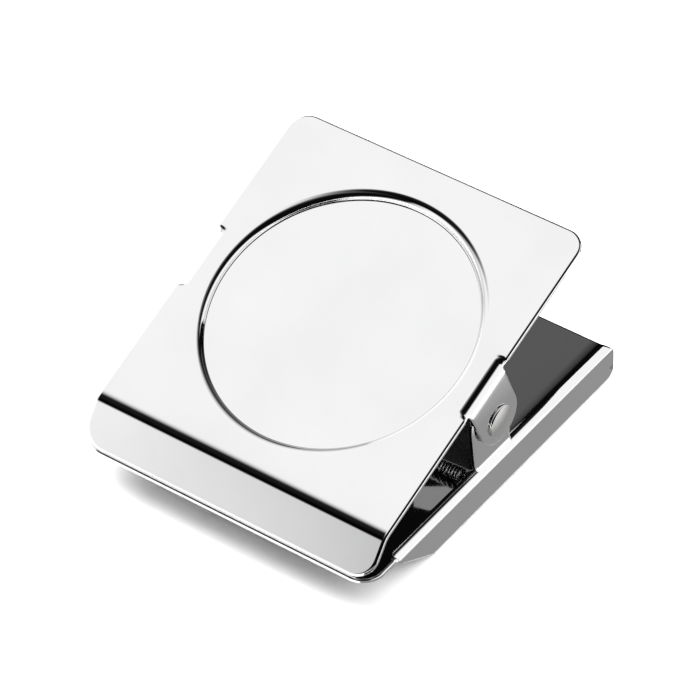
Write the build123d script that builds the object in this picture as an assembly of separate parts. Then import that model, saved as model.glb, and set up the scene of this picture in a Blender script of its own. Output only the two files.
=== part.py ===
from build123d import *
import os
from math import acos, atan2, cos, degrees, hypot, pi, radians, sin, tan

# Magnetic spring clip: two stamped plates on a cross pin, two torsion springs, one block magnet.
# Millimetres. +X along the pin, +Y towards the handles, +Z up. The magnet's face lies on Z = 0.

# ---- driving dimensions ----
width = 57.0               # both plates, side to side
sheet = 0.8                # steel thickness
edge_round = 0.18          # rounding of the plates' sheared edges

magnet_long = 50.8         # along X
magnet_wide = 25.4
magnet_thick = 6.35
magnet_chamfer = 0.4
bond_thick = 0.15
bond_inset = 0.4           # the bond stops short of the magnet's long edges
bond_long = 24.8           # along X, between the two openings in the back plate

back_long = 67.76          # jaw lip's edge to the flanges' handle ends
back_end_inset = 1.8       # the flanges run past the plate's own end by this much
flange_depth = 7.1         # top face to the flanges' lower edge
flange_bend = 1.4          # outer radius
flange_start = 7.56        # behind the jaw lip's edge
flange_nose_back = 1.3     # steep first step of the flange's front edge
flange_nose_down = 2.4
flange_ramp = 9.5          # the ramp meets the lower edge this far behind the flange's start
flange_corner = 2.0
jaw_corner = 4.0
lip_reach = 0.56           # the back jaw's edge stands this far past the front jaw's lower edge

pivot_from_jaw = 34.77     # pin axis behind the front jaw's lower edge
pivot_height = 7.76        # pin axis above the back plate's top face
plate_angle = 20.93        # between the plates when the jaw is shut

front_long = 59.5          # ridge corner to handle end
pivot_along = 28.91        # ridge corner to the pin, along the front plate
pivot_below = 9.94         # front plate's top face to the pin
ridge_angle = 30.9
ridge_bend = 3.3           # outer radius
jaw_gap = 0.05             # air under the front jaw's edge when the jaw is shut
handle_corner = 3.6

dish_along = 29.27         # ridge corner to the dish's centre
dish_mouth = 24.25         # radius where the plate starts to turn down into the dish
dish_depth = 1.05
dish_lip = 1.75            # bend radius at the dish's mouth, on the top face
dish_foot = 0.4            # bend radius at the dish's floor, on the top face

front_ear_along = 29.0     # ridge corner to the middle of the front plate's ears
front_ear_below = 9.5      # front plate's top face to the centre of the ear's round end
front_ear_half = 5.0       # half width, and radius of its round end
front_ear_bend = 1.9       # outer radius
back_ear_along = 34.7      # front jaw's lower edge to the middle of the back plate's ears
back_ear_height = 8.2      # back plate's top face to the centre of the ear's round top
back_ear_face = 27.2       # outer face of the back plate's ears, from the middle
back_ear_base = 4.75       # half width at the foot
back_ear_round = 5.4       # radius of the round top
back_ear_bend = 0.1        # inner radius
relief_radius = 0.75       # notches at the ends of the ear's foot

pin_radius = 1.5
pin_clearance = 0.05       # in the back plate's ears
head_radius = 2.75
head_thick = 0.7
head_chamfer = 0.12

wire = 1.1
coil_radius = 2.5          # to the wire's middle
coil_turns = 5             # whole turns, besides the part turn between the legs
coil_pitch = 1.13
coil_start = 15.0          # inner end of the right-hand spring, from the middle
lower_reach = 10.0         # pin to the end of the leg on the back plate
upper_reach = 13.0         # pin to the end of the leg under the front plate
leg_foot = 2.5             # straight end that lies along the plate
leg_bend = 1.4             # bend radius between leg and foot
leg_gap = 0.05

# ---- places worked out from them ----
half = width / 2
bond_top = magnet_thick + bond_thick
back_top = bond_top + sheet
lip_edge = -back_long / 2
flange_y = lip_edge + flange_start
pivot_y = lip_edge + lip_reach + pivot_from_jaw
pivot_z = back_top + pivot_height
back_ear_y = lip_edge + lip_reach + back_ear_along
tilt = radians(plate_angle)
ridge = radians(ridge_angle)


def front_frame():
    """The front plate's own frame: X across, Y along it from its ridge corner, Z out of its top face."""
    y = pivot_y - pivot_along * cos(tilt) - pivot_below * sin(tilt)
    z = pivot_z - pivot_along * sin(tilt) + pivot_below * cos(tilt)
    return Plane((0, y, z), x_dir=(1, 0, 0), z_dir=(0, -sin(tilt), cos(tilt)))


def jaw_strip_length():
    """Ridge corner to the jaw's edge, so that its lower corner ends just above the back plate."""
    steep = tilt + ridge
    corner_z = front_frame().origin.Z
    return (corner_z - sheet * cos(steep) - back_top - jaw_gap) / sin(steep)


def bar(face, x0, x1):
    """A face drawn in Y and Z, extruded along X from x0 to x1."""
    return Pos(x0, 0, 0) * extrude(Plane.YZ * face, x1 - x0)


def both_sides(shape):
    """The shape and its mirror image on the other side of the middle."""
    return [shape, mirror(shape, Plane.YZ)]


def tongue_outline(base, height, radius):
    """An ear's flat outline: a foot 2 * base wide on the X axis and a round top centred at height."""
    foot = Line((-base, 0), (base, 0))
    top = CenterArc((0, height), radius, 0, 360)
    return make_hull(foot.edges() + top.edges())


def quarter_bend(bend_x, bend_z, inner, x_side, z_side):
    """Section in X and Z of a bent sheet, a quarter ring on the given side of its centre."""
    ring = Circle(inner + sheet) - Circle(inner)
    reach = inner + sheet
    corner = Pos(x_side * reach / 2, z_side * reach / 2) * Rectangle(reach, reach)
    return Pos(bend_x, bend_z) * (ring & corner)


def along_y(section, y0, y1):
    """A section drawn in X and Z, extruded along Y from y0 to y1."""
    return Pos(0, y1, 0) * extrude(Plane.XZ * section, y1 - y0)


def back_channel():
    """Plate with a flange bent down on each side, from behind the jaw lip to the handle end."""
    end = -lip_edge
    flat = half - flange_bend
    inner = flange_bend - sheet
    low = back_top - flange_depth
    leg_top = back_top - flange_bend
    plate_mid = (bond_top + back_top) / 2
    shape = along_y(Pos(0, plate_mid) * Rectangle(2 * flat, sheet), flange_y, end - back_end_inset)
    bend = along_y(quarter_bend(flat, leg_top, inner, 1, 1), flange_y, end)
    leg_section = Pos(half - sheet / 2, (low + leg_top) / 2) * Rectangle(sheet, leg_top - low)
    leg = along_y(leg_section, flange_y, end)
    for piece in both_sides(bend + leg):
        shape += piece
    nose = (flange_y + flange_nose_back, back_top - flange_nose_down)
    outline = Polyline(
        (flange_y, back_top), nose, (flange_y + flange_ramp, low), (end, low), (end, back_top), close=True
    )
    side = make_face(outline)
    side = fillet(side.vertices().group_by(Axis.X)[-1], flange_corner)
    return shape & bar(side, -half, half)


def back_lip():
    """Flat jaw lip ahead of the flanges, with rounded front corners."""
    flat = half - flange_bend
    mid_z = (bond_top + back_top) / 2
    lip = Pos(0, (lip_edge + flange_y) / 2, mid_z) * Box(width, flange_start, sheet)
    front = lip.edges().filter_by(Axis.Z).group_by(Axis.Y)[0]
    lip = fillet(front, jaw_corner)
    rim = lip.edges().filter_by(lambda edge: edge.center().Y < flange_y - 0.1)
    rim = rim.filter_by(lambda edge: abs(edge.center().Z - mid_z) > sheet / 4)
    lip = fillet(rim, edge_round)
    root = Pos(0, flange_y, mid_z) * Box(2 * flat, 0.6, sheet)
    return lip + root


def back_ear():
    """Right ear of the back plate, bent up from the plate."""
    bend_x = back_ear_face + back_ear_bend
    bend_z = back_top + back_ear_bend
    outline = tongue_outline(back_ear_base, back_ear_height - back_ear_bend, back_ear_round)
    outline = Pos(back_ear_y, bend_z) * outline
    hole = Pos(pivot_y, pivot_z) * Circle(pin_radius + pin_clearance)
    tongue = bar(outline - hole, back_ear_face - sheet, back_ear_face)
    foot = quarter_bend(bend_x, bend_z, back_ear_bend, -1, -1)
    return tongue + along_y(foot, back_ear_y - back_ear_base, back_ear_y + back_ear_base)


def back_window():
    """Tool for the right-hand opening that the ear leaves in the plate, with its relief notches."""
    bend_x = back_ear_face + back_ear_bend
    bend_length = (back_ear_bend + sheet / 2) * pi / 2
    outline = tongue_outline(back_ear_base, back_ear_height - back_ear_bend + bend_length, back_ear_round)
    outline = Pos(bend_x, back_ear_y) * Rot(0, 0, 90) * outline
    for side in (-1, 1):
        outline += Pos(back_ear_face - 0.3, back_ear_y + side * (back_ear_base + 0.35)) * Circle(relief_radius)
    return Pos(0, 0, bond_top - sheet) * extrude(outline, 3 * sheet)


def back_plate():
    """One stamping: jaw lip, channel, two ears and the openings they leave."""
    plate = back_lip() + back_channel()
    for window in both_sides(back_window()):
        plate -= window
    for ear in both_sides(back_ear()):
        plate += ear
    return plate


def front_blank():
    """Flat plate, ridge and jaw strip in the front plate's own frame, all edges rounded."""
    strip = jaw_strip_length()
    tip = (-strip * cos(ridge), -strip * sin(ridge))
    under = (tip[0] + sheet * sin(ridge), tip[1] - sheet * cos(ridge))
    inner = (sheet * tan(ridge / 2), -sheet)
    outline = Polyline((front_long, 0), (0, 0), tip, under, inner, (front_long, -sheet), close=True)
    face = make_face(outline)
    face = fillet(face.vertices().sort_by_distance((0, 0))[0], ridge_bend)
    face = fillet(face.vertices().sort_by_distance(inner)[0], ridge_bend - sheet)
    blank = bar(face, -half, half)
    handle = blank.edges().filter_by(Axis.Z).group_by(Axis.Y)[-1]
    blank = fillet(handle, handle_corner)
    tip_mid = ((tip[0] + under[0]) / 2, (tip[1] + under[1]) / 2)
    jaw = []
    for edge in blank.edges():
        at = edge.center()
        if hypot(at.Y - tip_mid[0], at.Z - tip_mid[1]) < 0.05 and abs(at.X) > half - 0.1:
            jaw.append(edge)
    blank = fillet(jaw, jaw_corner)
    rim = []
    for edge in blank.edges():
        at = edge.center()
        on_ridge = abs(at.X) < 1 and abs(at.Y) < ridge_bend
        if edge.length > 1.2 * sheet and not on_ridge:
            rim.append(edge)
    return fillet(rim, edge_round)


def dish_side(offset):
    """The dish's wall in section, a lip arc and a foot arc, moved down through the sheet by offset."""
    slope = acos(1 - dish_depth / (dish_lip + dish_foot))
    floor = dish_mouth - (dish_lip + dish_foot) * sin(slope)
    lip = dish_lip - offset
    foot = dish_foot + offset

    def on_lip(angle):
        return dish_mouth - lip * sin(angle), lip * cos(angle) - dish_lip

    def on_foot(angle):
        return floor + foot * sin(angle), dish_foot - dish_depth - foot * cos(angle)

    lip_arc = ThreePointArc(on_lip(0), on_lip(slope / 2), on_lip(slope))
    foot_arc = ThreePointArc(on_lip(slope), on_foot(slope / 2), on_foot(0))
    return lip_arc, foot_arc


def dish_tools():
    """Cutter for the inside of the dish and solid for its underside, about the front frame's Z axis."""
    tools = []
    for offset, start in ((0, sheet), (sheet, -sheet / 2)):
        lip_arc, foot_arc = dish_side(offset)
        top = Polyline(foot_arc @ 1, (0, (foot_arc @ 1).Y), (0, start), (dish_mouth, start), lip_arc @ 0)
        section = make_face(Wire(top.edges() + lip_arc.edges() + foot_arc.edges()))
        tools.append(Pos(0, dish_along, 0) * revolve(Plane.XZ * section, Axis.Z))
    return tools


def on_rim(edge):
    """True for the long edges round a front ear's sides and round end, but not across its fold."""
    at = edge.center()
    return abs(at.Y - front_ear_along) > front_ear_half / 3 or at.Z < -front_ear_below


def front_ear():
    """Right ear of the front plate, folded down from its edge, in the front plate's frame."""
    inner = front_ear_bend - sheet
    bend_x = half - front_ear_bend
    fold = along_y(
        quarter_bend(bend_x, -front_ear_bend, inner, 1, 1),
        front_ear_along - front_ear_half,
        front_ear_along + front_ear_half,
    )
    straight = front_ear_below - front_ear_bend
    outline = Pos(front_ear_along, -front_ear_bend - straight / 2) * Rectangle(2 * front_ear_half, straight)
    outline += Pos(front_ear_along, -front_ear_below) * Circle(front_ear_half)
    ear = fold + bar(outline, half - sheet, half)
    ear = fillet(ear.edges().filter_by(lambda edge: edge.length > 1.5 * sheet and on_rim(edge)), edge_round)
    hole = Pos(half, pivot_along, -pivot_below) * Rot(0, 90, 0) * Cylinder(pin_radius, 4 * sheet)
    return ear - hole


def front_plate():
    """One stamping: handle, round dish, ridge, jaw strip and two ears."""
    plate = front_blank()
    cut, boss = dish_tools()
    plate = plate + boss - cut
    ear_place = Pos(half - front_ear_bend / 2, front_ear_along, 0)
    for slot in both_sides(ear_place * Box(front_ear_bend, 2 * front_ear_half, 4 * sheet)):
        plate -= slot
    for ear in both_sides(front_ear()):
        plate += ear
    return front_frame().location * plate


def on_pin(shape):
    """A shape made about the Z axis, laid along the pin's axis with its top to the right."""
    return Pos(0, pivot_y, pivot_z) * Rot(0, 90, 0) * shape


def pivot_pin():
    """Headed pin through all four ears."""
    pin = Cylinder(pin_radius, width)
    head = Pos(0, 0, half + head_thick / 2) * Cylinder(head_radius, head_thick)
    head = chamfer(head.edges().group_by(Axis.Z)[-1], head_chamfer)
    pin += head
    pin += mirror(head, Plane.XY)
    return on_pin(pin)


def leg_angle(knee_y, knee_z, side):
    """Angle about the pin at which a straight leg from the knee meets the coil."""
    away = hypot(knee_y, knee_z)
    return atan2(knee_z, knee_y) + side * acos(coil_radius / away)


def torsion_spring():
    """Right-hand spring: coil round the pin, one leg on the back plate, one under the front plate."""
    rise = coil_pitch / (2 * pi)
    low_z = -(pivot_height - wire / 2 - leg_gap)
    high_z = pivot_below - dish_depth - sheet - wire / 2 - leg_gap
    low_angle = leg_angle(lower_reach - leg_foot, low_z, -1)
    high_angle = leg_angle(upper_reach - leg_foot, high_z, 1) + tilt
    turn = high_angle - low_angle
    start = coil_start + wire / 2
    whole = 2 * pi * coil_turns + (2 * pi - turn)

    def on_coil(angle):
        y = coil_radius * cos(high_angle + angle)
        z = coil_radius * sin(high_angle + angle)
        return Vector(start + rise * angle, y, z)

    def leg(angle, knee_y, knee_z, foot_y, foot_z):
        root = on_coil(angle)
        run = hypot(knee_y - root.Y, knee_z - root.Z)
        slant = rise / coil_radius * run
        if angle == 0:
            slant = -slant
        knee = Vector(root.X + slant, knee_y, knee_z)
        foot = Vector(knee.X, foot_y, foot_z)
        return root, knee, foot

    def tilted(along, up):
        return along * cos(tilt) - up * sin(tilt), along * sin(tilt) + up * cos(tilt)

    upper = leg(0, *tilted(upper_reach - leg_foot, high_z), *tilted(upper_reach, high_z))
    lower = leg(whole, lower_reach - leg_foot, low_z, lower_reach, low_z)
    upper_wire = FilletPolyline(upper[2], upper[1], upper[0], radius=leg_bend)
    lower_wire = FilletPolyline(lower[0], lower[1], lower[2], radius=leg_bend)
    coil = Helix(pitch=coil_pitch, height=rise * whole, radius=coil_radius)
    coil = Pos(start, 0, 0) * Rot(0, 90, 0) * Rot(0, 0, degrees(high_angle) + 90) * coil
    path = Wire(upper_wire.edges() + coil.edges() + lower_wire.edges())
    section = Plane(origin=path @ 0, z_dir=path % 0) * Circle(wire / 2)
    return Pos(0, pivot_y, pivot_z) * sweep(section, path=path)


def magnet():
    """Block magnet, its face on Z = 0."""
    block = Pos(0, 0, magnet_thick / 2) * Box(magnet_long, magnet_wide, magnet_thick)
    return chamfer(block.edges(), magnet_chamfer)


def magnet_adhesive():
    """Bond layer between the magnet and the back plate."""
    wide = magnet_wide - 2 * magnet_chamfer - 2 * bond_inset
    return Pos(0, 0, magnet_thick + bond_thick / 2) * Box(bond_long, wide, bond_thick)


os.makedirs("parts", exist_ok=True)
export_step(back_plate(), "parts/back_plate.step")
export_step(front_plate(), "parts/front_plate.step")
export_step(pivot_pin(), "parts/pivot_pin.step")
spring_right, spring_left = both_sides(torsion_spring())
export_step(spring_right, "parts/torsion_spring_right.step")
export_step(spring_left, "parts/torsion_spring_left.step")
export_step(magnet(), "parts/magnet.step")
export_step(magnet_adhesive(), "parts/magnet_adhesive.step")
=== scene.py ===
from math import acos, atan2, cos, hypot, pi, radians, sin

import bpy
import numpy as np
from mathutils import Matrix, Vector, geometry


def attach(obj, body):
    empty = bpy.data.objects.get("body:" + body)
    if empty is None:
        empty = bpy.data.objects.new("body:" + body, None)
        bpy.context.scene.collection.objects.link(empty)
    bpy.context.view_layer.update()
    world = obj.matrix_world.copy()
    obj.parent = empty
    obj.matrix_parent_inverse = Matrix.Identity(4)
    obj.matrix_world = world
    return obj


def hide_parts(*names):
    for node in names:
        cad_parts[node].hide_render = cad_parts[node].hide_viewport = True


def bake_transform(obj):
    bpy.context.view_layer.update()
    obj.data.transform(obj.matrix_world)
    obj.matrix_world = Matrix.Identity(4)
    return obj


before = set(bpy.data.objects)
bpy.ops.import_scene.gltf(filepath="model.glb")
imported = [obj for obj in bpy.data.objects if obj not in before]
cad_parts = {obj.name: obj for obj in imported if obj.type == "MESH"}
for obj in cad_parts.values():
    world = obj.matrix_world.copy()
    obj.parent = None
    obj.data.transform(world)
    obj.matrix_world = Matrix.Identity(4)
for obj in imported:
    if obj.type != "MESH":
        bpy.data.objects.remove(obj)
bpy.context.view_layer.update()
MM = 0.001
scene = bpy.context.scene


# ---- camera ----
CAMERA_TURNS = (37.909, 42.380, -2.413)         # azimuth, elevation and roll, in degrees
CAMERA_PLACE = (0.33332, -0.42755, 0.51122)     # in metres
CAMERA_LENS = 236.108
CAMERA_SENSOR = 36
CAMERA_CLIP = (0.01, 50)


def make_camera():
    azimuth, elevation, roll = (radians(turn) for turn in CAMERA_TURNS)
    back = Vector((sin(azimuth) * cos(elevation), -cos(azimuth) * cos(elevation), sin(elevation)))
    right = Vector((0, 0, 1)).cross(back).normalized()
    up = back.cross(right)
    rolled_right = right * cos(roll) + up * sin(roll)
    rolled_up = up * cos(roll) - right * sin(roll)
    turn = Matrix((rolled_right, rolled_up, back)).transposed().to_4x4()
    cam = bpy.data.cameras.new("camera")
    cam.lens = CAMERA_LENS
    cam.sensor_width = CAMERA_SENSOR
    cam.clip_start, cam.clip_end = CAMERA_CLIP
    obj = bpy.data.objects.new("camera", cam)
    obj.matrix_world = Matrix.Translation(CAMERA_PLACE) @ turn
    scene.collection.objects.link(obj)
    scene.camera = obj


make_camera()


# ---- materials ----
NOISE_LOW, NOISE_HIGH = 0.3, 0.7    # the part of a noise's range that is used


def noise(tree, place, scale, detail=2.0, stretch=(1, 1, 1)):
    """Noise with scale cells to a metre, drawn out along an axis by stretch below 1."""
    mapping = tree.nodes.new("ShaderNodeMapping")
    mapping.inputs["Scale"].default_value = stretch
    tree.links.new(place, mapping.inputs["Vector"])
    node = tree.nodes.new("ShaderNodeTexNoise")
    node.inputs["Scale"].default_value = scale
    node.inputs["Detail"].default_value = detail
    tree.links.new(mapping.outputs[0], node.inputs["Vector"])
    return node.outputs["Fac"]


def spread(tree, value, low, high, start=NOISE_LOW, end=NOISE_HIGH):
    """The value's range from start to end, laid over low to high."""
    node = tree.nodes.new("ShaderNodeMapRange")
    node.inputs["From Min"].default_value = start
    node.inputs["From Max"].default_value = end
    node.inputs["To Min"].default_value = low
    node.inputs["To Max"].default_value = high
    tree.links.new(value, node.inputs["Value"])
    return node.outputs["Result"]


def bump(tree, height, distance, strength, under=None):
    """A normal from a height, on top of another bump if there is one; distance in metres."""
    node = tree.nodes.new("ShaderNodeBump")
    node.inputs["Distance"].default_value = distance
    node.inputs["Strength"].default_value = strength
    tree.links.new(height, node.inputs["Height"])
    if under:
        tree.links.new(under, node.inputs["Normal"])
    return node.outputs["Normal"]


def tint(tree, value, dark, light):
    """The colour between dark and light that goes with a noise."""
    node = tree.nodes.new("ShaderNodeValToRGB")
    tree.links.new(value, node.inputs[0])
    for element, position, colour in zip(node.color_ramp.elements, (NOISE_LOW, NOISE_HIGH), (dark, light)):
        element.position = position
        element.color = (*colour, 1)
    return node.outputs[0]


def start_material(name, metallic):
    """A material, its node tree, its shader and the object's own coordinates."""
    mat = bpy.data.materials.new(name)
    mat.use_nodes = True
    tree = mat.node_tree
    shader = tree.nodes["Principled BSDF"]
    shader.inputs["Metallic"].default_value = metallic
    place = tree.nodes.new("ShaderNodeTexCoord").outputs["Object"]
    return mat, tree, shader, place


def plated(name, dark, light, rough, wave, scratch):
    """Polished and plated steel: faint cloudiness, rolling waves of the sheet and hairline scratches."""
    mat, tree, shader, place = start_material(name, 1)
    cloud = noise(tree, place, scale=60, detail=3)
    tree.links.new(tint(tree, cloud, dark, light), shader.inputs["Base Color"])
    smear = noise(tree, place, scale=900, detail=4, stretch=(1, 0.12, 1))
    tree.links.new(spread(tree, smear, *rough), shader.inputs["Roughness"])
    rolled = bump(tree, noise(tree, place, scale=45, detail=1), 0.001, wave)
    hairs = noise(tree, place, scale=5200, detail=3, stretch=(1, 0.03, 1))
    tree.links.new(bump(tree, hairs, 0.00002, scratch, rolled), shader.inputs["Normal"])
    return mat


plate_mat = plated(
    "plate_chrome", (0.61, 0.61, 0.612), (0.64, 0.64, 0.642), rough=(0.025, 0.06), wave=0.004, scratch=0.06,
)
pin_mat = plated(
    "pin_nickel", (0.56, 0.555, 0.545), (0.62, 0.615, 0.605), rough=(0.07, 0.16), wave=0.008, scratch=0.15,
)
wire_mat = plated(
    "spring_wire", (0.42, 0.425, 0.43), (0.52, 0.525, 0.53), rough=(0.16, 0.26), wave=0.01, scratch=0.4,
)


def ferrite():
    """Ground ferrite: near black, matt, with the grinding wheel's lines."""
    mat, tree, shader, place = start_material("magnet_ferrite", 0)
    grain = noise(tree, place, scale=4000, detail=5)
    colour = tint(tree, grain, (0.012, 0.012, 0.013), (0.032, 0.032, 0.034))
    tree.links.new(colour, shader.inputs["Base Color"])
    tree.links.new(spread(tree, grain, 0.5, 0.75), shader.inputs["Roughness"])
    shader.inputs["Specular IOR Level"].default_value = 0.3
    wheel_lines = noise(tree, place, scale=3000, detail=3, stretch=(0.05, 1, 1))
    coarse = bump(tree, grain, 0.0001, 0.35)
    tree.links.new(bump(tree, wheel_lines, 0.00005, 0.4, coarse), shader.inputs["Normal"])
    return mat


def glue():
    """Cured adhesive: amber, cloudy and satin."""
    mat, tree, shader, place = start_material("bond_glue", 0)
    cloud = noise(tree, place, scale=700, detail=3)
    tree.links.new(tint(tree, cloud, (0.55, 0.46, 0.3), (0.72, 0.64, 0.46)), shader.inputs["Base Color"])
    tree.links.new(spread(tree, cloud, 0.35, 0.55), shader.inputs["Roughness"])
    tree.links.new(bump(tree, cloud, 0.0001, 0.3), shader.inputs["Normal"])
    return mat


for node_name, node_mat in (("magnet", ferrite()), ("magnet_adhesive", glue())):
    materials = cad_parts[node_name].data.materials
    materials.clear()
    materials.append(node_mat)


# ---- the clip's dimensions, in mm ----
# Y and Z are the CAD's. On the front plate, "along" runs up the plate from its ridge, and "below" is
# square to it.
SHEET = 0.8
HALF = 28.5                 # half the plates' width
ROLL = (0.75, 0.22)         # the sheared edge's radii on the top face: a wide roll, then a tight corner
ROLL_TURN = radians(40)     # where the one becomes the other
BURR = 0.12                 # radius on the other face
BACK_TOP = 7.3              # the back plate's top face
LIP_EDGE = -33.88           # the jaw's edge
FLANGE_Y = -26.32           # where the side flanges start
PIVOT_Y, PIVOT_Z = 1.45, 15.06
PIN_ALONG, PIN_BELOW = 28.91, 9.94
BACK_HOLE, FRONT_HOLE = 1.55, 1.5   # radii of the pin's holes
TILT = radians(20.93)       # the front plate's slope at rest
RIDGE = radians(30.9)       # how much steeper its jaw strip is
FRONT_Y = PIVOT_Y - PIN_ALONG * cos(TILT) - PIN_BELOW * sin(TILT)
FRONT_Z = PIVOT_Z - PIN_ALONG * sin(TILT) + PIN_BELOW * cos(TILT)
STEEP = TILT + RIDGE
JAW_GAP = 0.05
STRIP = (FRONT_Z - SHEET * cos(STEEP) - BACK_TOP - JAW_GAP) / sin(STEEP)    # the jaw strip's length
FOLD_X, FOLD_R = 26.1, 2.4          # where the front ears fold down, and the fold's radius
EAR_NEAR, EAR_FAR = 24.0, 34.0      # the front ears' sides, along the plate
DISH_ALONG, DISH_MOUTH = 29.27, 24.35
DISH_DEPTH = 1.05
DISH_ARCS = ((2.0, 0, 25), (1.4, 25, 57), (0.3, 57, 80), (0.35, 80, 0))   # bend radius, slope from, slope to
FLANGE_X, FLANGE_R = 26.5, 2.0      # where the side flanges bend down, and the bend's radius


# ---- sheet metal ----
def smooth(t):
    """A soft step from 0 to 1."""
    t = np.clip(t, 0, 1)
    return t * t * (3 - 2 * t)


def densely(points, step):
    """A closed outline with points no more than about a step apart."""
    dense = []
    for p, q in zip(points, np.roll(points, -1, 0)):
        pieces = max(1, int(np.linalg.norm(q - p) / step))
        dense.extend(p + (q - p) * k / pieces for k in range(pieces))
    return np.array(dense)


def rounded(corners, step=0.2):
    """A closed outline through (x, y, radius) corners, as dense points."""
    out = []
    count = len(corners)
    for i in range(count):
        p = np.array(corners[i][:2])
        before = np.array(corners[i - 1][:2]) - p
        after = np.array(corners[(i + 1) % count][:2]) - p
        radius = corners[i][2]
        a, b = before / np.linalg.norm(before), after / np.linalg.norm(after)
        inside = acos(np.clip(a @ b, -1, 1))
        reach = radius / np.tan(inside / 2)
        start, end = p + a * reach, p + b * reach
        centre = p + (a + b) / np.linalg.norm(a + b) * radius / sin(inside / 2)
        first, last = start - centre, end - centre
        sweep = pi - inside
        pieces = max(8 if radius > 0.3 else 3, int(radius * sweep / step) + 1)
        for k in range(pieces + 1):
            f = k / pieces
            out.append(centre + (first * sin((1 - f) * sweep) + last * sin(f * sweep)) / sin(sweep))
    return densely(np.array(out), step)


def circle(x, y, radius, count=48):
    turn = np.arange(count) * 2 * pi / count
    return np.stack([x + radius * np.cos(turn), y + radius * np.sin(turn)], 1)


def outward(loop, sign):
    """Unit directions square to the loop, away from the sheet."""
    along = np.roll(loop, -1, 0) - np.roll(loop, 1, 0)
    along /= np.linalg.norm(along, axis=1)[:, None]
    return sign * np.stack([along[:, 1], -along[:, 0]], 1)


def area(loop):
    """The loop's area, positive when it runs anticlockwise."""
    x, y = loop.T
    return 0.5 * np.sum(x * np.roll(y, -1) - np.roll(x, -1) * y)


def within(points, loop):
    """Which points lie inside the loop."""
    inside = np.zeros(len(points), bool)
    x, y = points.T
    for (ax, ay), (bx, by) in zip(loop, np.roll(loop, -1, 0)):
        if ay == by:
            continue
        crosses = (ay > y) != (by > y)
        inside ^= crosses & (x < (bx - ax) * (y - ay) / (by - ay) + ax)
    return inside


def far_from(points, loop, gap, batch=2000):
    """Which points are further than the gap from every point of the loop."""
    keep = np.ones(len(points), bool)
    for start in range(0, len(points), batch):
        part = points[start:start + batch]
        nearest = ((part[:, None, :] - loop[None, :, :]) ** 2).sum(2).min(1)
        keep[start:start + batch] = nearest > gap * gap
    return keep


def frame_at(surface, points, way=None):
    """Places, normals and, for a way across the outline, its direction in space."""
    tiny = 1e-3
    du, dv = np.array([tiny, 0]), np.array([0, tiny])
    along_u = surface(points + du) - surface(points - du)
    along_v = surface(points + dv) - surface(points - dv)
    normal = np.cross(along_u, along_v)
    normal /= np.linalg.norm(normal, axis=1)[:, None]
    if way is None:
        return surface(points), normal
    out = surface(points + way * tiny) - surface(points - way * tiny)
    return surface(points), normal, out / np.linalg.norm(out, axis=1)[:, None]


def roll_reach(turn):
    """How far out and how far down the rolled edge has come when its normal has turned by this much."""
    first, rest = min(turn, ROLL_TURN), max(turn, ROLL_TURN)
    wide, tight = ROLL
    out = wide * sin(first) + tight * (sin(rest) - sin(ROLL_TURN))
    down = wide * (1 - cos(first)) + tight * (cos(ROLL_TURN) - cos(rest))
    return out, down


EDGE = roll_reach(pi / 2)[0]


def edge_rings():
    """The sheared edge's section: (outward, upward) normals, reach and depth, from the top face down."""
    rings = []
    for degrees in (8, 16, 24, 32, 40, 50, 60, 75, 90):
        turn = radians(degrees)
        rings.append((sin(turn), cos(turn), *roll_reach(turn)))
    for degrees in (90, 60, 30):
        turn = radians(degrees)
        rings.append((sin(turn), -cos(turn), EDGE + BURR * (sin(turn) - 1), SHEET - BURR * (1 - cos(turn))))
    rings.append((0, -1, EDGE - BURR, SHEET))
    return rings


RIM_GAP = 0.12      # inner points keep this far from the rims


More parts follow.
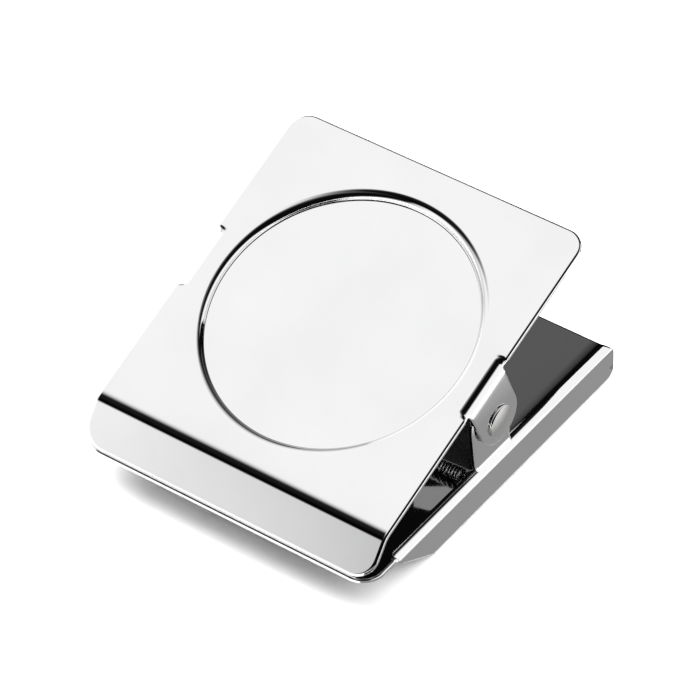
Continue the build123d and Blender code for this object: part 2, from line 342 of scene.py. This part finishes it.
def bent_sheet(loops, inner_points, surface, mirrored=False):
    """A solid sheet: the flat pattern's loops, filled and bent by surface, with rounded edges all round.
    The first loop is the outline and the rest are holes. Returns vertices, normals and faces, in mm."""
    signs = [1 if area(loop) > 0 else -1 for loop in loops]
    signs = [signs[0]] + [-sign for sign in signs[1:]]
    ways = [outward(loop, sign) for loop, sign in zip(loops, signs)]
    rims = [loop - way * EDGE for loop, way in zip(loops, ways)]
    keep = within(inner_points, rims[0]) & far_from(inner_points, rims[0], RIM_GAP)
    for rim in rims[1:]:
        keep &= ~within(inner_points, rim) & far_from(inner_points, rim, RIM_GAP)
    inner = inner_points[keep]
    flat = np.concatenate(rims + [inner])
    links = []
    at = 0
    for rim in rims:
        links += [(at + i, at + (i + 1) % len(rim)) for i in range(len(rim))]
        at += len(rim)
    found = geometry.delaunay_2d_cdt([Vector(p) for p in flat], links, [], 1, 1e-6)
    spots = np.array([tuple(v) for v in found[0]])
    triangles = np.array([f for f in found[2] if len(f) == 3])
    middle = spots[triangles].mean(1)
    solid = within(middle, rims[0])
    for rim in rims[1:]:
        solid &= ~within(middle, rim)
    triangles = triangles[solid]
    first = {}
    for index, sources in enumerate(found[3]):
        for source in sources:
            first[source] = index
    top, normal = frame_at(surface, spots)
    verts = [top, top - normal * SHEET]
    normals = [normal, -normal]
    count = len(spots)
    total = 2 * count
    faces = [tuple(t) for t in triangles] + [tuple(t[::-1] + count) for t in triangles]
    rings = edge_rings()
    at = 0
    for rim, way, sign in zip(rims, ways, signs):
        base, up, out = frame_at(surface, rim, way)
        size = len(rim)
        here = [[first[at + i] for i in range(size)]]
        for side, rise, reach, depth in rings:
            verts.append(base + out * reach - up * depth)
            normals.append(out * side + up * rise)
            here.append(list(range(total, total + size)))
            total += size
        here.append([first[at + i] + count for i in range(size)])
        for upper, lower in zip(here, here[1:]):
            for i in range(size):
                j = (i + 1) % size
                quad = (upper[i], lower[i], lower[j], upper[j])
                faces.append(quad if sign > 0 else quad[::-1])
        at += size
    verts, normals = np.concatenate(verts), np.concatenate(normals)
    if mirrored:
        verts[:, 0] *= -1
        normals[:, 0] *= -1
        faces = [face[::-1] for face in faces]
    return verts, normals, faces


def add_piece(name, parts, mat):
    """One object from a list of (vertices, normals, faces), in mm."""
    verts, normals, faces = [], [], []
    for part_verts, part_normals, part_faces in parts:
        base = sum(len(v) for v in verts)
        verts.append(np.asarray(part_verts))
        normals.append(np.asarray(part_normals))
        faces += [tuple(int(i) + base for i in face) for face in part_faces]
    mesh = bpy.data.meshes.new(name)
    mesh.from_pydata((np.concatenate(verts) * MM).tolist(), [], faces)
    mesh.polygons.foreach_set("use_smooth", [True] * len(mesh.polygons))
    mesh.normals_split_custom_set_from_vertices(np.concatenate(normals).tolist())
    mesh.materials.append(mat)
    obj = bpy.data.objects.new(name, mesh)
    scene.collection.objects.link(obj)
    return obj


def grid(xs, ys):
    """The points of a grid, as one list."""
    x, y = np.meshgrid(xs, ys)
    return np.stack([x.ravel(), y.ravel()], 1)


def steps(start, end, step):
    """Even places from start to end, about a step apart."""
    return np.linspace(start, end, max(2, int(round(abs(end - start) / step)) + 1))


# ---- front plate ----
# The ridge's bend gets tighter towards the jaw. BEND_S is the way along it, and BEND_Y and BEND_Z are
# the places there.
BEND_LONG = 2.4
BEND_POWER = 2.1
BEND_S = np.linspace(0, BEND_LONG, 400)
BEND_TURN = RIDGE * (BEND_S / BEND_LONG) ** BEND_POWER
BEND_MIDDLE = (BEND_TURN[1:] + BEND_TURN[:-1]) / 2
BEND_Y = -np.concatenate([[0], np.cumsum(np.cos(BEND_MIDDLE) * np.diff(BEND_S))])
BEND_Z = -np.concatenate([[0], np.cumsum(np.sin(BEND_MIDDLE) * np.diff(BEND_S))])
BEND_START = -BEND_Y[-1] + BEND_Z[-1] / np.tan(RIDGE)
JAW_V = BEND_START - BEND_LONG - (STRIP + BEND_Z[-1] / sin(RIDGE))
FOLD_EASE = 1.3     # length over which a fold dies out beside an ear
PLATE_LONG = 59.5   # from the ridge to the handle's end
DISH_POINTS = 420


def dish_drop(radius):
    """Depth of the dish below the plate, by distance from its centre."""
    depth = np.zeros_like(radius)
    inward = np.clip(DISH_MOUTH - radius, 0, None)
    for bend, low, high in DISH_ARCS:
        a, b = radians(low), radians(high)
        wide = bend * abs(sin(b) - sin(a))
        h = np.clip(inward, 0, wide)
        way = 1 if b > a else -1
        slope = np.arcsin(np.clip(sin(a) + way * h / bend, -1, 1))
        depth += bend * way * (cos(a) - np.cos(slope))
        inward = np.clip(inward - wide, 0, None)
    return depth


def front_surface(points):
    """The front plate's top face: u across the flat pattern, v along it, with v 0 at the ridge."""
    u, v = points.T
    s = np.clip(BEND_START - v, 0, BEND_LONG)
    past = np.clip(BEND_START - v - BEND_LONG, 0, None)
    ahead = np.clip(v - BEND_START, 0, None)
    y = BEND_START + ahead + np.interp(s, BEND_S, BEND_Y) - past * cos(RIDGE)
    z = np.interp(s, BEND_S, BEND_Z) - past * sin(RIDGE)
    z = z - dish_drop(np.hypot(u, v - DISH_ALONG))
    near = smooth((v - EAR_NEAR + FOLD_EASE) / FOLD_EASE) * smooth((EAR_FAR + FOLD_EASE - v) / FOLD_EASE)
    side, wide = np.sign(u), np.abs(u)
    run = np.clip(wide - FOLD_X, 0, None)
    arc = np.clip(run, 0, FOLD_R * pi / 2)
    extra = run - arc
    turn = arc / FOLD_R * near + 1e-9
    radius = arc / turn
    x = np.where(run > 0, FOLD_X + radius * np.sin(turn) + extra * np.cos(turn), wide)
    z = z - np.where(run > 0, radius * (1 - np.cos(turn)) + extra * np.sin(turn), 0)
    y_cad = FRONT_Y + y * cos(TILT) - z * sin(TILT)
    z_cad = FRONT_Z + y * sin(TILT) + z * cos(TILT)
    return np.stack([side * x, y_cad, z_cad], 1)


def front_plate():
    """The flat pattern of the dished plate with its two ears, dense at the bends and the dish."""
    ear_reach = FOLD_X + FOLD_R * (pi / 2 - 1)
    ear_end = ear_reach + 14.5
    corners = [
        (HALF, JAW_V, 4.0), (HALF, EAR_NEAR, 0.45), (ear_end, EAR_NEAR + 0.9, 4.5), (ear_end, EAR_FAR, 4.5),
        (HALF, EAR_FAR, 0.45), (HALF, PLATE_LONG, 3.6),
    ]
    corners += [(-x, y, r) for x, y, r in corners[::-1]]
    holes = [circle(side * (ear_reach + PIN_BELOW), PIN_ALONG, FRONT_HOLE) for side in (1, -1)]
    inner = [
        grid(steps(-28, 28, 3.0), steps(JAW_V + 0.5, BEND_START - BEND_LONG - 0.1, 2.5)),
        grid(steps(-28.2, 28.2, 0.35), steps(BEND_START - BEND_LONG, BEND_START + 0.1, 0.1)),
        grid(steps(-28, 28, 3.5), np.array([2.3, 57.0])),
        grid(np.array([-27.5, 27.5]), np.concatenate([steps(5, 21, 2), steps(37, 55, 2)])),
    ]
    for side in (1, -1):
        inner.append(grid(side * steps(FOLD_X - 0.15, ear_reach + 2.3, 0.13), steps(22.3, 35.7, 0.3)))
        inner.append(grid(side * steps(ear_reach + 3, ear_reach + 14, 1.6), steps(24.6, 33.4, 1.6)))
    turn = np.arange(DISH_POINTS) * 2 * pi / DISH_POINTS
    for radius in np.concatenate([[4, 9, 14, 18.5, 21.6], np.arange(22.2, 24.5, 0.07), [25.2]]):
        inner.append(np.stack([radius * np.cos(turn), DISH_ALONG + radius * np.sin(turn)], 1))
    inner = np.concatenate(inner)
    return bent_sheet([rounded(corners)] + holes, inner, front_surface)


# ---- back plate ----
FLANGE_EARLY = 0.9          # the flange's bend starts this far ahead of FLANGE_Y
FLANGE_EASE = 1.7           # and grows to its full turn in this length


def back_surface(points):
    """The back plate's top face: u across the flat pattern, v along Y."""
    u, v = points.T
    side, wide = np.sign(u), np.abs(u)
    run = np.clip(wide - FLANGE_X, 0, None)
    arc = np.clip(run, 0, FLANGE_R * pi / 2)
    extra = run - arc
    turn = arc / FLANGE_R * smooth((v - FLANGE_Y + FLANGE_EARLY) / FLANGE_EASE) + 1e-9
    radius = arc / turn
    x = np.where(run > 0, FLANGE_X + radius * np.sin(turn) + extra * np.cos(turn), wide)
    z = BACK_TOP - np.where(run > 0, radius * (1 - np.cos(turn)) + extra * np.sin(turn), 0)
    return np.stack([side * x, v, z], 1)


EAR_Y = 1.38        # middle of the back ears
EAR_FACE = 27.2     # their outer faces
EAR_FOOT = 2.0      # radius of the bend at their feet, which runs into the flange's bend
EAR_HALF, EAR_WAIST = 4.6, 4.75     # half widths at the foot and above it
EAR_ROUND = 5.4     # radius of the round end
EAR_RISE = 8.2      # the round end's centre, above the plate
FOOT_IN = EAR_FACE + EAR_FOOT - FLANGE_X
FOOT_Z = BACK_TOP - FLANGE_R + (FLANGE_R + EAR_FOOT) * sin(acos(FOOT_IN / (FLANGE_R + EAR_FOOT)))
FOOT_SWEEP = atan2(FOOT_Z - BACK_TOP + FLANGE_R, FOOT_IN)
FOOT_LONG = FOOT_SWEEP * EAR_FOOT
FOOT_UNDER = 0.75   # how far the ear runs on below its foot, along the flange's bend
FOOT_SINK = 0.15    # how fast it sinks into the plate there


def ear_surface(points):
    """A back ear's outer face: y along Y, b up from its foot, and below 0 along the flange's bend."""
    y, b = points.T
    turn = np.clip(FOOT_SWEEP - b / EAR_FOOT, 0, FOOT_SWEEP)
    x = EAR_FACE + EAR_FOOT * (1 - np.cos(turn))
    z = FOOT_Z - EAR_FOOT * np.sin(turn) + np.clip(b - FOOT_LONG, 0, None)
    under = np.clip(-b, 0, None)
    lean = FOOT_SWEEP - under / FLANGE_R
    sunk = FLANGE_R - FOOT_SINK * under ** 2
    below_x = FLANGE_X + sunk * np.cos(lean)
    below_z = BACK_TOP - FLANGE_R + sunk * np.sin(lean)
    return np.stack([np.where(b < 0, below_x, x), y, np.where(b < 0, below_z, z)], 1)


def arc_points(x, y, radius, start, sweep, count=40):
    """Points round part of a circle, from start over sweep, in degrees."""
    turns = [radians(start + sweep * k / count) for k in range(count + 1)]
    return [(x + radius * cos(turn), y + radius * sin(turn)) for turn in turns]


def back_ears():
    """The right and left ears that stand up from the flanges' bends, each with its hole for the pin."""
    centre = FOOT_LONG + BACK_TOP + EAR_RISE - FOOT_Z
    foot = [(EAR_HALF, -FOOT_UNDER), (EAR_HALF, 0.0), (EAR_WAIST, 0.5)]
    outline = [(EAR_Y + y, b) for y, b in foot]
    outline += arc_points(EAR_Y, centre, EAR_ROUND, -4, 188)
    outline += [(EAR_Y - y, b) for y, b in foot[::-1]]
    hole = circle(PIVOT_Y, centre + PIVOT_Z - BACK_TOP - EAR_RISE, BACK_HOLE)
    inner = np.concatenate([
        grid(steps(EAR_Y - EAR_HALF, EAR_Y + EAR_HALF, 0.3), steps(-0.3, FOOT_LONG + 0.2, 0.12)),
        grid(steps(EAR_Y - 5, EAR_Y + 5, 1.5), steps(2.5, 13, 1.5)),
    ])
    loops = [densely(np.array(outline), 0.2), hole]
    return [bent_sheet(loops, inner, ear_surface, mirrored) for mirrored in (False, True)]


WINDOW_FOOT, WINDOW_ROUND = 27.68, 18.415    # X of its straight side and of its round end's centre


def window_loop(side):
    """Opening in the back plate that the ear was bent out of."""
    corner = [(WINDOW_FOOT, 3.3), (WINDOW_FOOT - 0.9, 4.3), (WINDOW_FOOT - 1.5, 4.85)]
    points = [(WINDOW_FOOT, EAR_Y + corner[0][1])] + [(x, EAR_Y - y) for x, y in corner]
    points += arc_points(WINDOW_ROUND, EAR_Y, EAR_ROUND, 266, -172)
    points += [(x, EAR_Y + y) for x, y in corner[:0:-1]]
    loop = densely(np.array(points), 0.25)
    return loop if side > 0 else (loop * (-1, 1))[::-1]


def back_plate():
    """The flat pattern of the channel with its two openings, filled with dense rows at the flanges' bends."""
    wrap = FLANGE_X + FLANGE_R * (pi / 2 - 1)
    end = -LIP_EDGE + 0.2
    corners = [
        (HALF, LIP_EDGE, 4.0), (HALF, FLANGE_Y - 0.2, 0.4), (wrap + 2.4, FLANGE_Y + 1.3, 0.5),
        (wrap + 7.1, FLANGE_Y + 9.5, 1.5), (wrap + 7.1, end, 2.0),
        (FLANGE_X + 3.0, end, 1.4), (FLANGE_X + 0.4, end - 1.5, 1.6),
    ]
    corners += [(-x, y, r) for x, y, r in corners[::-1]]
    windows = [window_loop(side) for side in (1, -1)]
    inner = [grid(steps(-26, 26, 3.5), steps(LIP_EDGE + 1, end - 3, 3.5))]
    for side in (1, -1):
        bend_u = steps(FLANGE_X - 0.2, wrap + 2.12, 0.12)
        inner.append(grid(side * bend_u, steps(FLANGE_Y - 2, end - 0.4, 0.35)))
        inner.append(grid(side * steps(wrap + 2.8, wrap + 6.6, 1.3), steps(FLANGE_Y + 1, end - 1, 2.5)))
    inner = np.concatenate(inner)
    return bent_sheet([rounded(corners)] + windows, inner, back_surface)


# ---- pin and springs ----
def lathe(profile, count=64):
    """Turned about the pin's axis from (x, radius) points, with normals from the profile."""
    profile = np.array(profile)
    along = np.gradient(profile, axis=0)
    out = np.stack([-along[:, 1], along[:, 0]], 1)
    out /= np.linalg.norm(out, axis=1)[:, None]
    turn = np.arange(count) * 2 * pi / count
    verts, normals, faces = [], [], []
    for (x, radius), (nx, nr) in zip(profile, out):
        for t in turn:
            verts.append((x, PIVOT_Y + radius * cos(t), PIVOT_Z + radius * sin(t)))
            normals.append((nx, nr * cos(t), nr * sin(t)))
    for i in range(len(profile) - 1):
        for j in range(count):
            k = (j + 1) % count
            faces.append((i * count + j, i * count + k, (i + 1) * count + k, (i + 1) * count + j))
    faces.append(tuple(range(count))[::-1])
    faces.append(tuple((len(profile) - 1) * count + j for j in range(count)))
    return verts, normals, faces


HEAD_SIDE = 0.36        # height of the head's straight side
HEAD_R, HEAD_ROUND = 2.7, 0.12
DOME_RISE, DOME_R = 0.26, 2.66
HEAD_SEAT = 0.003       # gap between the head and the ear


def pin():
    """The pin: a plain shank with a low domed head at each end."""
    head = [(HALF + HEAD_SEAT, 1.6), (HALF + HEAD_SEAT, 2.68), (HALF + 0.02, 2.78)]
    for k in range(9):
        turn = radians(90 * k / 8)
        head.append((HALF + HEAD_SIDE + HEAD_ROUND * sin(turn), HEAD_R + HEAD_ROUND * cos(turn)))
    dome = HALF + HEAD_SIDE + HEAD_ROUND
    dome_radii = (2.64, 2.5, 2.25, 1.9, 1.5, 1.0, 0.5, 0.05)
    head += [(dome + DOME_RISE * (1 - (r / DOME_R) ** 2), r) for r in dome_radii]
    shank = [(x, FRONT_HOLE) for x in (-HALF, -HALF + 0.1, HALF - 0.1, HALF)]
    return lathe([(-x, r) for x, r in head[::-1]] + shank + head)


WIRE = 0.55                     # radius of the spring wire
COIL_R = 2.5
COIL_RISE = 1.13 / (2 * pi)     # along the pin, for each radian of turn
COIL_START = 15.55
COIL_TURNS = 5                  # whole turns; the legs' directions add the rest
COIL_STEP = radians(7.5)
LEG_GAP = 0.05                  # between a leg and the plate it presses on
LOW_KNEE, LOW_FOOT = 7.5, 10.0      # how far out along its plate each leg bends and ends
HIGH_KNEE, HIGH_FOOT = 10.5, 13.0
KNEE_CUT = 0.85                 # length of leg on each side of the knee that its round takes


def spring_path():
    """Centre line of the right-hand spring, about the pivot: upper leg, coil, lower leg."""
    low_z = -(PIVOT_Z - BACK_TOP - WIRE - LEG_GAP)
    high_z = PIN_BELOW - DISH_DEPTH - SHEET - WIRE - LEG_GAP

    def leg_angle(y, z, side):
        """Where on the coil a leg to this place leaves it."""
        return atan2(z, y) + side * acos(COIL_R / hypot(y, z))

    low = leg_angle(LOW_KNEE, low_z, -1)
    high = leg_angle(HIGH_KNEE, high_z, 1) + TILT
    whole = COIL_TURNS * 2 * pi + (2 * pi - (high - low))
    count = int(whole / COIL_STEP)
    coil = []
    for k in range(count + 1):
        turn = whole * k / count
        coil.append(np.array([
            COIL_START + COIL_RISE * turn, COIL_R * cos(high + turn), COIL_R * sin(high + turn),
        ]))

    def tilted(y, z):
        """From the front plate's directions to the CAD's."""
        return y * cos(TILT) - z * sin(TILT), y * sin(TILT) + z * cos(TILT)

    def leg(root, knee, foot, drift):
        """From the coil to a rounded knee and along the plate to the foot, with a drift along the pin."""
        run = hypot(knee[0] - root[1], knee[1] - root[2])
        knee = np.array([root[0] + drift * run, *knee])
        foot = np.array([knee[0], *foot])
        into = (root - knee) / np.linalg.norm(root - knee)
        away = (foot - knee) / np.linalg.norm(foot - knee)
        start, end = knee + into * KNEE_CUT, knee + away * KNEE_CUT
        parts = [k / 8 for k in range(1, 9)]
        straight = [root + (start - root) * f for f in parts]
        bend = [(1 - f) ** 2 * start + 2 * f * (1 - f) * knee + f * f * end for f in parts]
        return straight + bend + [foot]

    slant = COIL_RISE / COIL_R
    upper = leg(coil[0], tilted(HIGH_KNEE, high_z), tilted(HIGH_FOOT, high_z), -slant)
    lower = leg(coil[-1], (LOW_KNEE, low_z), (LOW_FOOT, low_z), slant)
    return np.array(upper[::-1] + coil + lower) + (0, PIVOT_Y, PIVOT_Z)


def tube(path, radius, count=16):
    """A round wire along a path, with flat ends."""
    along = np.gradient(path, axis=0)
    along /= np.linalg.norm(along, axis=1)[:, None]
    side = np.cross(along[0], (0, 0, 1))
    verts, normals, faces = [], [], []
    for i, (p, t) in enumerate(zip(path, along)):
        side = side - t * (side @ t)
        side /= np.linalg.norm(side)
        up = np.cross(t, side)
        for j in range(count):
            turn = 2 * pi * j / count
            n = side * cos(turn) + up * sin(turn)
            normals.append(n)
            verts.append(p + n * radius)
        if i:
            a, b = (i - 1) * count, i * count
            faces += [(a + j, a + (j + 1) % count, b + (j + 1) % count, b + j) for j in range(count)]
    last = (len(path) - 1) * count
    for ring, way in ((0, -1), (last, 1)):
        base = len(verts)
        for j in range(count):
            verts.append(verts[ring + j])
            normals.append(along[0] * way if ring == 0 else along[-1] * way)
        faces.append(tuple(base + j for j in range(count))[::way])
    return np.array(verts), np.array(normals), faces


front = add_piece("front_plate_steel", [front_plate()], plate_mat)
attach(front, "front")
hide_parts("front_plate")
back = add_piece("back_plate_steel", [back_plate()] + back_ears(), plate_mat)
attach(back, "back")
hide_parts("back_plate")
pivot = add_piece("pin_steel", [pin()], pin_mat)
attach(pivot, "front")
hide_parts("pivot_pin")
path = spring_path()
for side, name in ((1, "right"), (-1, "left")):
    spring = add_piece("spring_" + name, [tube(path * (side, 1, 1), WIRE)], wire_mat)
    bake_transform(spring)
    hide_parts("torsion_spring_" + name)


# ---- floor ----
FLOOR_HALF = 30     # metres


def make_floor():
    mesh = bpy.data.meshes.new("floor")
    s = FLOOR_HALF
    mesh.from_pydata([(-s, -s, 0), (s, -s, 0), (s, s, 0), (-s, s, 0)], [], [(0, 1, 2, 3)])
    obj = bpy.data.objects.new("floor", mesh)
    scene.collection.objects.link(obj)
    mat = bpy.data.materials.new("floor_paint")
    mat.use_nodes = True
    shader = mat.node_tree.nodes["Principled BSDF"]
    shader.inputs["Base Color"].default_value = (0.9, 0.9, 0.9, 1)
    shader.inputs["Roughness"].default_value = 0.9
    shader.inputs["Specular IOR Level"].default_value = 0.1
    mesh.materials.append(mat)


make_floor()


# ---- light ----
# The studio, as the chrome sees it. A tent wall glows overhead and down the left, low white cards stand
# nearly all round, and the wall between them is dark on the camera's side. Each list gives a value by
# azimuth, which runs from the front (-Y) to the right. All angles are in degrees.
TENT_FOOT = [  # elevation where the tent's glow starts
    (0, 48), (12, 49), (24, 67), (40, 67), (60, 72), (84, 73), (105, 69), (132, 57), (144, 56),
    (156, 50), (168, 45), (180, 30), (192, 25), (204, 5), (216, -30), (240, -60), (264, -85),
    (285, -85), (300, -45), (312, 8), (324, 35), (336, 33), (348, 40), (360, 48),
]
TENT_RISE = [  # degrees from there to full brightness
    (0, 45), (12, 62), (24, 26), (40, 34), (60, 25), (84, 21), (105, 30), (132, 55), (144, 44),
    (156, 38), (168, 34), (180, 48), (192, 44), (204, 64), (216, 98), (240, 100), (264, 112),
    (285, 118), (300, 92), (312, 52), (324, 34), (336, 44), (348, 48), (360, 45),
]
CARD_TOP = [  # elevation of the low cards' upper edge
    (0, 5), (12, 6), (24, 0), (36, -20), (50, -20), (60, 6), (72, 30), (84, 37), (108, 43), (144, 44),
    (156, 34), (168, 18), (180, -10), (225, -10), (240, 36), (266, 40), (276, 8), (288, 14), (300, 20),
    (312, 26), (322, 29), (332, 26), (340, 10), (360, 5),
]
CARD_GLOW = [  # their brightness
    (0, 0.55), (12, 0.38), (24, 0.35), (36, 0.02), (50, 0.02), (60, 0.9), (84, 1.0), (156, 1.0),
    (180, 0.6), (225, 0.6), (240, 1.1), (266, 1.1), (276, 0.95), (300, 1.02), (326, 1.0), (332, 0.74),
    (345, 0.62), (360, 0.55),
]
WALL_GLOW = [  # brightness of what is neither tent nor card
    (0, 0.003), (150, 0.004), (168, 0.02), (180, 0.05), (192, 0.12), (204, 0.2), (216, 0.3),
    (235, 0.45), (285, 0.5), (300, 0.4), (312, 0.08), (324, 0.004), (360, 0.003),
]
TENT_GLOW = 0.96
RISE_MOST, CARD_MOST = 150, 1.1
CARD_SOFTNESS = 11
SHADE_AZIMUTH, SHADE_ELEVATION = 312, 50    # a dark round in the tent
SHADE_OUTER, SHADE_INNER = 24, 12           # radii where it starts and where it is darkest
SHADE_LEFT = 0.01                           # share of the brightness left there
STUDIO_GAIN = 1.5


def toward(azimuth, elevation):
    """The direction out to a place in the studio, from degrees."""
    a, e = radians(azimuth), radians(elevation)
    return Vector((sin(a) * cos(e), -cos(a) * cos(e), sin(e)))


def make_world():
    world = bpy.data.worlds.new("studio")
    scene.world = world
    world.use_nodes = True
    t = world.node_tree
    t.nodes.clear()
    new, link = t.nodes.new, t.links.new

    def math(op, *inputs, clamp=False):
        n = new("ShaderNodeMath")
        n.operation = op
        n.use_clamp = clamp
        for socket, value in zip(n.inputs, inputs):
            if isinstance(value, (int, float)):
                socket.default_value = value
            else:
                link(value, socket)
        return n.outputs[0]

    def round_ramp(turn, stops, low, high):
        """A value by azimuth, from stops in degrees; low and high are the least and the most it can be."""
        n = new("ShaderNodeValToRGB")
        link(turn, n.inputs[0])
        elements = n.color_ramp.elements
        while len(elements) < len(stops):
            elements.new(0.5)
        for element, (azimuth, value) in zip(elements, stops):
            element.position = azimuth / 360
            share = (value - low) / (high - low)
            element.color = (share, share, share, 1)
        return math("MULTIPLY_ADD", n.outputs[0], high - low, low)

    out = new("ShaderNodeOutputWorld")
    ground = new("ShaderNodeBackground")
    link(ground.outputs[0], out.inputs[0])
    place = new("ShaderNodeTexCoord")
    split = new("ShaderNodeSeparateXYZ")
    link(place.outputs["Generated"], split.inputs[0])
    x, y, z = split.outputs
    turn = math("ARCTAN2", x, math("MULTIPLY", y, -1))
    turn = math("FRACT", math("MULTIPLY_ADD", turn, 0.5 / pi, 1))
    height = math("MULTIPLY", math("ARCSINE", z), 180 / pi)
    foot = round_ramp(turn, TENT_FOOT, -90, 90)
    rise = round_ramp(turn, TENT_RISE, 0, RISE_MOST)
    tent = math("DIVIDE", math("SUBTRACT", height, foot), rise, clamp=True)
    tent = math("MULTIPLY", math("POWER", tent, 2), TENT_GLOW)
    card = math("SUBTRACT", round_ramp(turn, CARD_TOP, -90, 90), height)
    card = math("MULTIPLY_ADD", card, 1 / CARD_SOFTNESS, 0.5, clamp=True)
    card = math("MULTIPLY", card, round_ramp(turn, CARD_GLOW, 0, CARD_MOST))
    wall = round_ramp(turn, WALL_GLOW, 0, 1)
    glow = math("MAXIMUM", math("MAXIMUM", tent, card), wall)
    shade = new("ShaderNodeVectorMath")
    shade.operation = "DOT_PRODUCT"
    link(place.outputs["Generated"], shade.inputs[0])
    shade.inputs[1].default_value = toward(SHADE_AZIMUTH, SHADE_ELEVATION)
    soft = new("ShaderNodeMapRange")
    soft.interpolation_type = "SMOOTHSTEP"
    soft.inputs["From Min"].default_value = cos(radians(SHADE_OUTER))
    soft.inputs["From Max"].default_value = cos(radians(SHADE_INNER))
    soft.inputs["To Min"].default_value = 1
    soft.inputs["To Max"].default_value = SHADE_LEFT
    link(shade.outputs["Value"], soft.inputs["Value"])
    link(math("MULTIPLY", glow, soft.outputs["Result"]), ground.inputs[0])
    ground.inputs["Strength"].default_value = STUDIO_GAIN


make_world()


def sun(name, azimuth, elevation, strength, angle):
    """A soft light that lights the floor but that the chrome doesn't reflect."""
    light = bpy.data.lights.new(name, "SUN")
    light.energy = strength
    light.angle = radians(angle)
    obj = bpy.data.objects.new(name, light)
    obj.rotation_euler = toward(azimuth, elevation).to_track_quat("Z", "Y").to_euler()
    obj.visible_glossy = False
    scene.collection.objects.link(obj)


CARD_LIFT = 0.3         # height of the cards that lie on the floor, in mm
FAR_Y, GREY_Y = 66, 40  # the standing cards behind the clip, and the grey one ahead of them
BLACK = 0.004
FADE_SLANT = 0.594      # a fade's boundary leans by this much of X for each mm of Z


def standing(left, right, low, high):
    return [(left, FAR_Y, low), (right, FAR_Y, low), (right, FAR_Y, high), (left, FAR_Y, high)]


def lying(left, right, near, far):
    edges = [(left, near), (right, near), (right, far), (left, far)]
    return [(x, y, CARD_LIFT) for x, y in edges]


def under_front(points, below):
    """Places under the front plate at rest, from (x, along)."""
    return [
        (x, FRONT_Y + along * cos(TILT) + below * sin(TILT), FRONT_Z + along * sin(TILT) - below * cos(TILT))
        for x, along in points
    ]


def flag(name, corners, glow, fade=None):
    """A card that only reflections see. fade is (start, end, last glow): between two places in mm, along
    a slant in X and Z, the glow changes to the last one."""
    mesh = bpy.data.meshes.new(name)
    places = [[v * MM for v in corner] for corner in corners]
    mesh.from_pydata(places, [], [tuple(range(len(corners)))])
    obj = bpy.data.objects.new(name, mesh)
    scene.collection.objects.link(obj)
    mat = bpy.data.materials.new(name)
    mat.use_nodes = True
    shader = mat.node_tree.nodes["Principled BSDF"]
    shader.inputs["Base Color"].default_value = (0, 0, 0, 1)
    shader.inputs["Specular IOR Level"].default_value = 0
    shader.inputs["Emission Color"].default_value = (1, 1, 1, 1)
    shader.inputs["Emission Strength"].default_value = glow
    if fade:
        tree = mat.node_tree
        slant = tree.nodes.new("ShaderNodeVectorMath")
        slant.operation = "DOT_PRODUCT"
        slant.inputs[1].default_value = (1, 0, FADE_SLANT)
        tree.links.new(tree.nodes.new("ShaderNodeTexCoord").outputs["Object"], slant.inputs[0])
        lift = FADE_SLANT * corners[0][2]
        start, end = ((place + lift) * MM for place in fade[:2])
        along = spread(tree, slant.outputs["Value"], glow, fade[2], start, end)
        tree.links.new(along, shader.inputs["Emission Strength"])
    mesh.materials.append(mat)
    obj.visible_camera = False
    obj.visible_diffuse = False
    obj.visible_shadow = False


grey = [(-45, GREY_Y, 12.5), (24.6, GREY_Y, 12.5), (3.5, GREY_Y, 48), (-45, GREY_Y, 48)]
# Outline, as (x, along), of the painted shade card under the front plate.
inside = [(-27, 1.5), (27, 1.5), (27, 56), (-27, 56)]
# Outline, as (x, along), of the painted reflection card under the front plate.
painted_glow_patch = [(11.5, 31.3), (14.8, 36.2), (17.6, 36.2), (18.6, 26.9), (15.5, 25.5)]
flag("flag_behind", standing(-70, 8, 1, 80), BLACK)
flag("flag_corner", standing(8, 43, 1, 100), BLACK)
flag("grey_behind", grey, 0.15, (21.7, 23.6, BLACK))
flag("card_behind", standing(43, 95, 1, 66), 1.45)
flag("flag_under", lying(-70, 30, 34.6, FAR_Y), BLACK)
# Painted shadow: a dim card on the floor beside the right-hand flange, seen only in reflections, stands in
# for the clip's shadow there and brightens further out.
flag("painted_shadow_beside", lying(28.6, 58, -45, 50), 0.43, (39.5, 57, 1.4))
flag("flag_front", lying(30, 200, -200, -46), 0.01)
# Painted shade: a black card just under the front plate, seen only in reflections, darkens the clip's inside.
flag("painted_shade_inside", under_front(inside, 2.3), BLACK)
# Painted reflection: a faintly glowing card just under the front plate, seen only in reflections, puts a pale
# patch on the parts inside the clip.
flag("painted_glow_inside", under_front(painted_glow_patch, 2.4), 0.33)
sun("key", 262, 55, strength=3.2, angle=50)
sun("fill", 80, 60, strength=3.2, angle=60)
scene.view_settings.view_transform = "Standard"
